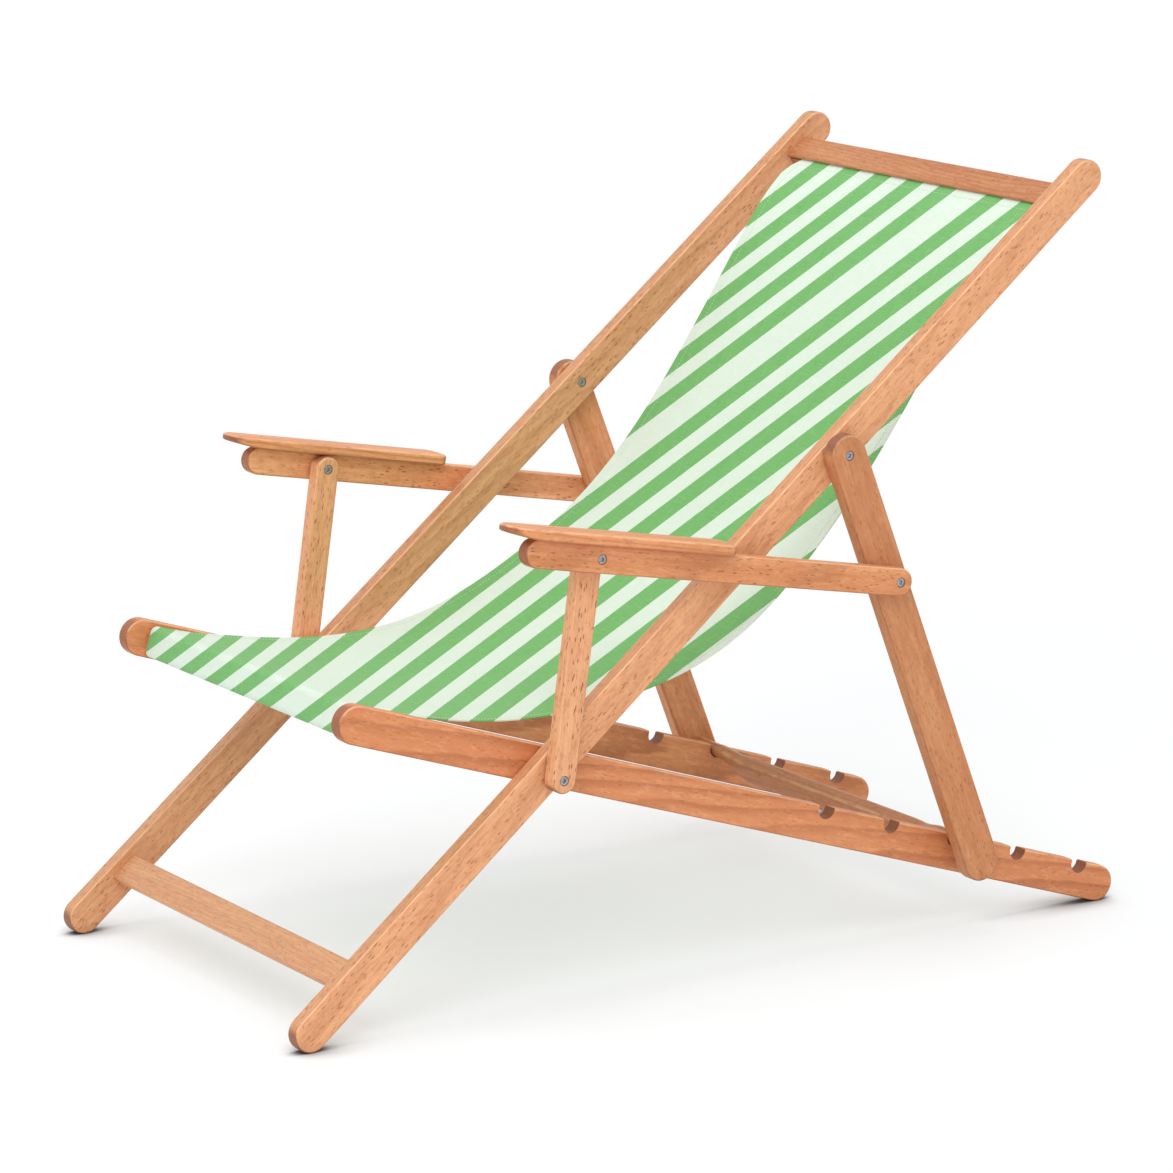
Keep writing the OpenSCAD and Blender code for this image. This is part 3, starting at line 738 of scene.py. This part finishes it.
def bar_section(y):
    d, tenon = BAR_HALF - abs(y), BAR_R - 0.02
    turns = [2 * math.pi * i / BAR_STEPS for i in range(BAR_STEPS)]
    if d < 0:
        if abs(y) > X_PROP + TENON_DEEP - 0.5:
            tenon -= TENON_CUT
        return [(tenon * math.cos(t), y, tenon * math.sin(t)) for t in turns]
    r = BAR_R + 0.3 * ease(d / 2)
    full = ease((d - BAR_END) / BAR_EASE_DOWN)
    upper = -r + (r + BAR_UNDER) * ease((d - BAR_END) / BAR_EASE_UP)
    lower = r + (BAR_UNDER + BAR_DEEP - 0.1 - r) * full
    half_t, p = r + (BAR_T / 2 - 0.05 - r) * full, 1 - 0.6 * full

    def soft(v):
        return math.copysign(abs(v) ** p, v)
    return [((upper + lower) / 2 + (lower - upper) / 2 * soft(math.cos(t)), y, half_t * soft(math.sin(t)))
            for t in turns]


ys = [-X_PROP - TENON_DEEP, -X_PROP - 11.2, -X_PROP, -BAR_HALF - 0.3] + [-BAR_HALF + 2 * i for i in range(33)]
ys = ys + [-y for y in reversed(ys)]
bm = bmesh.new()
skin(bm, [[bm.verts.new(Vector(p) * MM) for p in bar_section(y)] for y in ys])
wooden("prop_bar", mesh_of(bm, "bar"), cross_matrix(BAR, PROP), "prop_frame", ["prop_crossbar"], axis="y",
       kind=(0.5, 0.6, 0.45), light=0.9)


# struts and arms

strut_m, arm_m = plane_matrix(MAIN, STRUT), plane_matrix(P3, ARM)
for word, side in SIDES:
    me = slab_mesh("strut", stadium(-STRUT_W / 2, STRUT_LEN + STRUT_W / 2, 0, STRUT_W), *span(X_PROP, side),
                   RAIL_EDGE)
    me = bored(me, side, (0, 0, X_PROP + STOCK, 1), (STRUT_LEN, 0, X_PROP, -1))
    wooden("upright_" + word, me, strut_m, "strut_" + word, ["strut_" + word], kind=(0.15, -0.3, 1.0),
           light=1.04 if side > 0 else 1.10, raw=near_bores((0, 0), (STRUT_LEN, 0)))

    me = slab_mesh("arm", stadium(-ARM_FRONT, ARM_LEN + ARM_REAR, 0, ARM_W), *span(X_ARM, side), RAIL_EDGE)
    me = bored(me, side, (0, 0, X_ARM + STOCK, 1), (ARM_LEN, 0, X_ARM + STOCK, 1))
    wooden("arm_bar_" + word, me, arm_m, "arm_" + word, ["arm_rail_" + word],
           kind=(0.45, 0.30 if side > 0 else -0.1, 0.85), light=1.04 if side > 0 else 1.12,
           raw=near_bores((0, 0), (ARM_LEN, 0)))

    # the board: local x along the arm, local y across the chair, local z up
    start, r, under = -ARM_FRONT - BOARD_AHEAD, BOARD_W / 2, ARM_W / 2
    corners = (BOARD_REAR_R, BOARD_REAR_R, r - 0.01, r - 0.01)
    me = slab_mesh("board", round_rect(start, -r, start + BOARD_LEN, r, corners, 18), under, under + BOARD_T,
                   BOARD_EDGE, 6)
    # the nose is thinned from below
    bm = bmesh.new()
    bm.from_mesh(me)
    for s in (12, 25, NOSE_LEN):
        bmesh.ops.bisect_plane(bm, geom=bm.verts[:] + bm.edges[:] + bm.faces[:],
                               plane_co=((start + s) * MM, 0, 0), plane_no=(1, 0, 0))
    for v in bm.verts:
        thin = max(0.0, 1 - (v.co.x / MM - start) / NOSE_LEN)
        v.co.z += NOSE_RISE * MM * thin * (under + BOARD_T - v.co.z / MM) / BOARD_T
    board_m = cross_matrix(P3, ARM, (X_ARM + STOCK / 2) * side)
    wooden("arm_board_" + word, mesh_of(bm, "board"), board_m, "arm_" + word, ["armrest_board_" + word],
           kind=(0.6, 0.18, 0.5), light=1.08)


# bolts and nuts

def metal(name, me, matrix, body, nodes, sharp=28):
    finish_mesh(me, sharp)
    me.materials.clear()
    me.materials.append(steel)
    me.transform(matrix)
    obj = collection_link(bpy.data.objects.new(name, me))
    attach(obj, body)
    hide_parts(*nodes)


def hexagon(flats):
    def r(t):
        t = (t + math.pi / 6) % (math.pi / 3) - math.pi / 6
        return flats / 2 / math.cos(t)
    return r


def bolt_mesh(length):
    """A head with a hexagonal socket, outward at z = -HEAD_IN, and a shank back to -length unless that is
    within the head; z = 0 is the wood's face."""
    r, t = HEAD_R, -HEAD_IN
    rings = [(0.02, t - SOCKET_DEEP), (hexagon(SOCKET_W), t - SOCKET_DEEP), (hexagon(SOCKET_W), t - 0.2),
             (hexagon(SOCKET_W + 0.4), t), (r - 0.75, t), (r - 0.62, t - 0.01), (r - 0.3, t - 0.1),
             (r - 0.08, t - 0.35), (r, t - 0.7), (r, t - HEAD_T + 0.05), (r - 0.05, t - HEAD_T)]
    if length > 3:
        rings += [(SHANK_R, t - HEAD_T), (SHANK_R, -length)]
    bm = bmesh.new()
    revolve(bm, rings[::-1], 48)
    return mesh_of(bm, "bolt")


# the two halves of the arm's rear bolt ride on the arm and on the prop leg, and meet between them
REAR_OUTER, REAR_INNER = 18, 19.8

for word, side in SIDES:
    for name, at, x_out, x_in, body, node in (
            ("main", MAIN, X_PROP + STOCK, X_SEAT, "back_frame", "main_{}_" + word),
            ("prop", P1, X_PROP + STOCK, X_BACK, "back_frame", "prop_{}_" + word),
            ("front", P3, X_ARM + STOCK, X_PROP, "strut_" + word, "arm_front_{}_" + word)):
        turn = Matrix.Rotation(math.radians(dice.uniform(0, 60)), 4, "Z")
        metal(name + "_screw_" + word, bolt_mesh(x_out - x_in - 3), out_matrix(at, x_out * side, side) @ turn,
              body, [node.format("bolt")])
        metal(name + "_cap_" + word, bolt_mesh(3), out_matrix(at, x_in * side, -side) @ turn,
              body, [node.format("nut")])
    turn = Matrix.Rotation(math.radians(dice.uniform(0, 60)), 4, "Z")
    metal("rear_screw_" + word, bolt_mesh(REAR_OUTER), out_matrix(P2, (X_ARM + STOCK) * side, side) @ turn,
          "arm_" + word, ["arm_rear_bolt_" + word])
    metal("rear_cap_" + word, bolt_mesh(REAR_INNER), out_matrix(P2, X_PROP * side, -side) @ turn,
          "prop_frame", ["arm_rear_nut_" + word])

for name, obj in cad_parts.items():
    if "washer" in name or "board_screws" in name or name == "sling_rod":
        obj.data.materials.clear()
        obj.data.materials.append(steel)


# sling

# the bow is a Bezier curve from the slot's mouth to the front rail, fitted to the photograph; each of its
# handles has a length, as a share of the reach, and a turn off the rail's slope in degrees
BOW_UPPER, BOW_LOWER = (0.223, -3.7), (0.618, 1.15)
BOW_STEPS, WRAP_STEPS, DROP_STEPS = 150, 12, 6
top_out = on(BACK, low - 1, slot_n)
(s0, s1), (n0, n1), r = FRONT_RAIL_S, FRONT_RAIL_N, FRONT_RAIL_R
off = LAY + SLING_T / 2  # from the front rail's faces to the middle of the canvas
landing = on(SEAT, s1 - r / 2, n1 + off)
reach = (top_out - landing).length
c1 = top_out - BOW_UPPER[0] * reach * unit(BACK + BOW_UPPER[1])
c2 = landing + BOW_LOWER[0] * reach * unit(SEAT + BOW_LOWER[1])


def bow(t):
    return (1 - t) ** 3 * top_out + 3 * (1 - t) ** 2 * t * c1 + 3 * (1 - t) * t * t * c2 + t ** 3 * landing


def wrap(n, a0):
    """A quarter turn round a front corner of the front rail, whose centre lies at n, from the angle a0."""
    turns = [math.radians(a0 + 90 * i / WRAP_STEPS) for i in range(WRAP_STEPS + 1)]
    return [on(SEAT, s0 + r + (r + off) * math.cos(a), n + (r + off) * math.sin(a)) for a in turns]


path = [on(BACK, channel_s - 2.6, slot_n), on(BACK, channel_s - 5, slot_n)]
path += [bow(i / BOW_STEPS) for i in range(BOW_STEPS + 1)]
path += wrap(n1 - r, 90)
path += [on(SEAT, s0 - off, n1 - r - (n1 - n0 - 2 * r) * i / DROP_STEPS) for i in range(1, DROP_STEPS)]
path += wrap(n0 + r, 180)
path += [on(SEAT, s1 - s, n0 - off) for s in (4, 1)]
lengths = [0.0]
for a, b in zip(path, path[1:]):
    lengths.append(lengths[-1] + (b - a).length)
TOTAL = lengths[-1]
bow_from, bow_to = lengths[2], lengths[2 + BOW_STEPS]
tangents = []
for i in range(len(path)):
    a, b = path[max(0, i - 1)], path[min(len(path) - 1, i + 1)]
    tangents.append((b - a).normalized())


def along_path(v):
    """Point and upward normal of the sling's middle surface at v mm from its upper end."""
    v = held(v, 0, TOTAL)
    i = max(1, next((k for k, l in enumerate(lengths) if l >= v), len(lengths) - 1))
    f = (v - lengths[i - 1]) / max(1e-9, lengths[i] - lengths[i - 1])
    p = path[i - 1].lerp(path[i], f)
    t = tangents[i - 1].lerp(tangents[i], f).normalized()
    return p, Vector((t.y, -t.x))


def free(v):
    """0 where the canvas is held by the rails, 1 in the open bow."""
    return ease((v - bow_from) / 90) * ease((bow_to - 10 - v) / 90)


def bell(x, middle, width):
    return math.exp(-((x - middle) / width) ** 2)


EDGE_GAP, WAIST = 0.6, 4.5  # the canvas draws in by up to WAIST at each side
PULLS = ((-0.83, 0.9), (-0.42, 0.6), (-0.05, 0.7), (0.36, 0.6), (0.79, 0.9))  # where across, and how high


def sling_point(u, v, lift=0.0):
    """u from -1 to 1 across, v in mm along; lift off the middle surface toward the sitter."""
    p, n = along_path(v)
    f = free(v)
    w = (v - bow_from) / (bow_to - bow_from)
    half = SLING_HALF - EDGE_GAP - WAIST * f * (0.55 + 0.45 * math.sin(math.pi * held(w, 0, 1)))
    edge = max(0.0, (abs(u) - 0.80) / 0.20)
    z = f * (-2.6 * (1 - u * u) + 1.6 * edge ** 2)
    z += f * 0.8 * math.sin(u * 5.1 + w * 6.0) * math.sin(w * 9.2 + 0.6)
    # it hangs a little skew: higher along the sitter's right
    z -= u * (1.5 * f + 7.0 * f * bell(w, 0.57, 0.11))
    if u < 0:
        z += 7.0 * u * u * held((v - bow_from) / 22, 0.0, 1.0) * bell(w, 0.02, 0.09)
    # short pulls near the slot and near the front rail
    for across, high in PULLS:
        pull = high * bell(u, across, 0.10) * f
        z += pull * (bell(v, bow_from + 45, 42) + bell(v, bow_to - 60, 46))
    return placed(u * half, p + n * (z + lift))


def cloth_attribute(me, facts):
    at = me.attributes.new("cloth", "FLOAT_VECTOR", "POINT")
    for i, f in enumerate(facts):
        at.data[i].vector = f


def cloth_mesh(name, us, vs, thick):
    """A closed sheet over the grid us x vs. thick(u, v) is its half thickness in mm."""
    bm = bmesh.new()
    sides, facts = [], []
    for s in (1, -1):
        grid = []
        for v in vs:
            row = []
            for u in us:
                row.append(bm.verts.new(sling_point(u, v, s * thick(u, v))))
                count = stripe_count(sling_point(u, v, 0.8) / MM)
                facts.append(((u + 1) * SLING_HALF * MM, (v - bow_from) * MM, count))
            grid.append(row)
        sides.append(grid)
    A, B = sides
    for i in range(len(vs) - 1):
        for j in range(len(us) - 1):
            bm.faces.new((A[i][j], A[i + 1][j], A[i + 1][j + 1], A[i][j + 1]))
            bm.faces.new((B[i][j], B[i][j + 1], B[i + 1][j + 1], B[i + 1][j]))
    for i in range(len(vs) - 1):
        bm.faces.new((A[i][0], B[i][0], B[i + 1][0], A[i + 1][0]))
        bm.faces.new((A[i][-1], A[i + 1][-1], B[i + 1][-1], B[i][-1]))
    for j in range(len(us) - 1):
        bm.faces.new((A[0][j], A[0][j + 1], B[0][j + 1], B[0][j]))
        bm.faces.new((A[-1][j], B[-1][j], B[-1][j + 1], A[-1][j + 1]))
    bmesh.ops.recalc_face_normals(bm, faces=bm.faces)
    me = mesh_of(bm, name)
    cloth_attribute(me, facts)
    me.shade_smooth()
    me.set_sharp_from_angle(angle=math.radians(50))
    return me


HEM_W = 13
HEM_U = 1 - HEM_W / SLING_HALF


def side_hem(u, v):
    """The canvas is folded under along both edges."""
    k = 0.72 if abs(u) > HEM_U else 0.46
    return k if bow_from + 2 < v < bow_to - 2 else 0.46


# even steps, and finer ones at the hems and round the front rail
us = sorted(set([-1, 1] + [round(-1 + 2 * i / 60, 5) for i in range(61)]
                + [s * (HEM_U + d) for s in (-1, 1) for d in (-0.004, 0.004)] + [s * 0.993 for s in (-1, 1)]))
vs = sorted(set([l for i, l in enumerate(lengths) if i < 3 or i > BOW_STEPS]
                + [bow_from + (bow_to - bow_from) * i / 170 for i in range(171)]))
sling_mesh = cloth_mesh("sling_cloth", us, vs, side_hem)
sling_mesh.materials.append(canvas)
sling = collection_link(bpy.data.objects.new("sling_cloth", sling_mesh))

# the hem round the rod, inside the top rail's channel: a tube, as rings of outer and then inner points
TUBE_OUTER, TUBE_INNER, TUBE_STEPS, TUBE_RINGS = 2.9, 1.6, 28, 41
hem = on(BACK, channel_s, slot_n)
bm = bmesh.new()
grid = []
for j in range(TUBE_RINGS):
    x = (-1 + 2 * j / (TUBE_RINGS - 1)) * (SLING_HALF - EDGE_GAP)
    row = []
    for radius in (TUBE_OUTER, TUBE_INNER):
        for i in range(TUBE_STEPS):
            a = 2 * math.pi * i / TUBE_STEPS
            row.append(bm.verts.new(placed(x, hem + Vector((math.cos(a), math.sin(a))) * radius)))
    grid.append(row)
around = [(i, (i + 1) % TUBE_STEPS) for i in range(TUBE_STEPS)]
for a, b in zip(grid, grid[1:]):
    for k in (0, TUBE_STEPS):
        for i, j in around:
            bm.faces.new((a[k + i], a[k + j], b[k + j], b[k + i]))
for row in (grid[0], grid[-1]):
    for i, j in around:
        bm.faces.new((row[i], row[j], row[TUBE_STEPS + j], row[TUBE_STEPS + i]))
bmesh.ops.recalc_face_normals(bm, faces=bm.faces)
facts = [((v.co.x / MM + SLING_HALF) * MM, (v.co.z + v.co.y), stripe_count(v.co / MM)) for v in bm.verts]
hem_mesh = mesh_of(bm, "hem")
cloth_attribute(hem_mesh, facts)
hem_mesh.shade_smooth()
hem_mesh.materials.append(canvas)
rod_hem = collection_link(bpy.data.objects.new("rod_hem", hem_mesh))
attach(rod_hem, "back_frame")

THREAD_R, STITCH, STITCH_PITCH = 0.26, 2.6, 4.0


def stitches(name, places):
    """Short lengths of thread on the canvas. places are (u, v, du, dv, lift) in mm, with u from the middle,
    du and dv along the stitch, and lift off the sling's middle surface."""
    bm = bmesh.new()
    for u, v, du, dv, lift in places:
        rings = []
        for k in range(5):
            t = -1 + 2 * k / 4
            c = sling_point((u + du * t / 2) / SLING_HALF, v + dv * t / 2, lift + 0.28 * (1 - t * t) + 0.02)
            normal = along_path(v)[1]
            up = Vector((0, normal.x, normal.y))
            run = Vector((du, 0, 0)) + Vector((0, up.z, -up.y)) * dv
            aside = run.cross(up).normalized()
            r = THREAD_R * MM * (1 - 0.5 * t * t)
            rings.append([bm.verts.new(c + aside * r * math.cos(q) + up * r * math.sin(q))
                          for q in (0, 1.57, 3.14, 4.71)])
        skin(bm, rings)
    bmesh.ops.recalc_face_normals(bm, faces=bm.faces)
    me = mesh_of(bm, name)
    me.shade_smooth()
    me.materials.append(thread)
    return collection_link(bpy.data.objects.new(name, me))


row = []
for s in (-1, 1):
    v = bow_from + 8
    while v < bow_to - 8:
        row += [(s * (SLING_HALF - 11), v, 0.0, STITCH, lift) for lift in (0.72, -1.15)]
        v += STITCH_PITCH
seams = stitches("side_stitching", row)
row, u = [], -SLING_HALF + 3
while u < SLING_HALF - 3:
    row.append((u, bow_from + 9, STITCH, 0.0, 0.5))
    u += STITCH_PITCH
top_seam = stitches("rod_stitching", row)

for piece in (sling, seams, top_seam):
    upper = sling_point(0, bow_from + 30)
    lower = sling_point(0, bow_to - 30)
    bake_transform(piece)
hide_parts("sling")

# tacks under the front rail: shank, then a domed head
TACK = [(0.8, 12.0), (0.8, 0.0), (3.5, 0.0), (3.5, -0.25), (3.2, -0.55), (2.4, -0.82), (1.2, -0.97),
        (0.05, -1.0)]
tack_at = on(SEAT, TACK_S, FRONT_RAIL_N[0] - LAY - SLING_T)
bm = bmesh.new()
for i in range(TACKS):
    x = (i / (TACKS - 1) - 0.5) * 2 * (SLING_HALF - TACK_IN)
    part = bmesh.new()
    revolve(part, TACK[::-1], 28)
    bmesh.ops.rotate(part, verts=part.verts, cent=(0, 0, 0),
                     matrix=Matrix.Rotation(math.radians(SEAT), 3, "X"))
    bmesh.ops.translate(part, verts=part.verts, vec=placed(x, tack_at))
    bm.from_mesh(mesh_of(part, "tack"))
metal("tack_row", mesh_of(bm, "tacks"), Matrix.Identity(4), "seat_frame", ["sling_tacks"], 40)


# floor, light, camera

WHITE = (1, 1, 1, 1)
FLOOR_STEPS = 64


def make_floor():
    bm = bmesh.new()
    last = None
    for r in (0.6, 1.2, 2.0, 3.0, 5.0, 9.0, 16.0, 30.0):
        turns = [2 * math.pi * i / FLOOR_STEPS for i in range(FLOOR_STEPS)]
        ring = [bm.verts.new((r * math.cos(t), r * math.sin(t), 0)) for t in turns]
        if last is None:
            bm.faces.new(ring)
        else:
            for i in range(FLOOR_STEPS):
                j = (i + 1) % FLOOR_STEPS
                bm.faces.new((last[i], ring[i], ring[j], last[j]))
        last = ring
    me = mesh_of(bm, "studio_floor")
    n = Surface("pale_floor")
    co = n.object_place()
    far = n.smooth(n.vmath("LENGTH", co), 0.7, 2.0, 0.42, 1.0)
    # painted contact shadow: darker where the feet touch, in the floor's colour and in its white
    touch = n.tree.nodes.new("ShaderNodeAmbientOcclusion")
    touch.samples = 8
    touch.inputs["Distance"].default_value = 0.05
    touch = n.smooth(touch.outputs["AO"], 0.35, 0.95)
    pale = n.mix(n.noise(co, 3.0), srgb(248, 251, 254), srgb(250, 253, 255))
    n.set(Base_Color=n.mix(touch, srgb(120, 118, 116), pale), Roughness=0.8, Specular_IOR_Level=0.1)
    white = n.node("ShaderNodeEmission", {"Color": WHITE, "Strength": 1.0})
    n.mix_shader(n.out, n.mul(n.mul(far, touch), n.direct()), n.bsdf.outputs[0], white)
    me.materials.append(n.mat)
    obj = collection_link(bpy.data.objects.new("studio_floor", me))


make_floor()

world = bpy.data.worlds.new("studio")
bpy.context.scene.world = world
world.use_nodes = True
n = Nodes(world.node_tree)
soft = n.node("ShaderNodeBackground", {"Color": WHITE, "Strength": 0.82})
plain = n.node("ShaderNodeBackground", {"Color": WHITE, "Strength": 1.0})
n.mix_shader(n.tree.nodes.new("ShaderNodeOutputWorld"), n.direct(), soft, plain)


def area(name, where, aim, size, power):
    data = bpy.data.lights.new(name, "AREA")
    data.shape, data.size, data.energy = "DISK", size, power
    obj = collection_link(bpy.data.objects.new(name, data))
    obj.location = where
    obj.rotation_mode = "QUATERNION"
    obj.rotation_quaternion = (Vector(aim) - Vector(where)).to_track_quat("-Z", "Y")


area("key", (2.6, -2.2, 3.2), (0, 0, 0.35), 2.4, 54)
area("top", (-0.2, 0.1, 4.2), (0, 0, 0.3), 2.0, 34)
area("fill", (-3.2, -1.4, 1.8), (0, 0, 0.4), 2.6, 8)

# the camera that was fitted to the photograph: angles in degrees, focal length and width in pixels, mm
CAMERA_AZ, CAMERA_EL, FOCAL, PHOTO_W, SENSOR = 57.69, 12.33, 4961.8, 1173, 36.0
CAMERA_AT = Vector((4487.1, PIVOT.x - 2631.3, 1539.2))
az, el = math.radians(CAMERA_AZ), math.radians(CAMERA_EL)
back = Vector((math.sin(az) * math.cos(el), -math.cos(az) * math.cos(el), math.sin(el)))
cam_data = bpy.data.cameras.new("camera")
cam_data.sensor_width, cam_data.lens = SENSOR, FOCAL / PHOTO_W * SENSOR
cam = collection_link(bpy.data.objects.new("camera", cam_data))
cam.location = CAMERA_AT * MM
cam.rotation_mode = "QUATERNION"
cam.rotation_quaternion = (-back).to_track_quat("-Z", "Y")
cam_data.clip_start, cam_data.clip_end = 0.1, 100
bpy.context.scene.camera = cam
bpy.context.scene.view_settings.view_transform = "Standard"
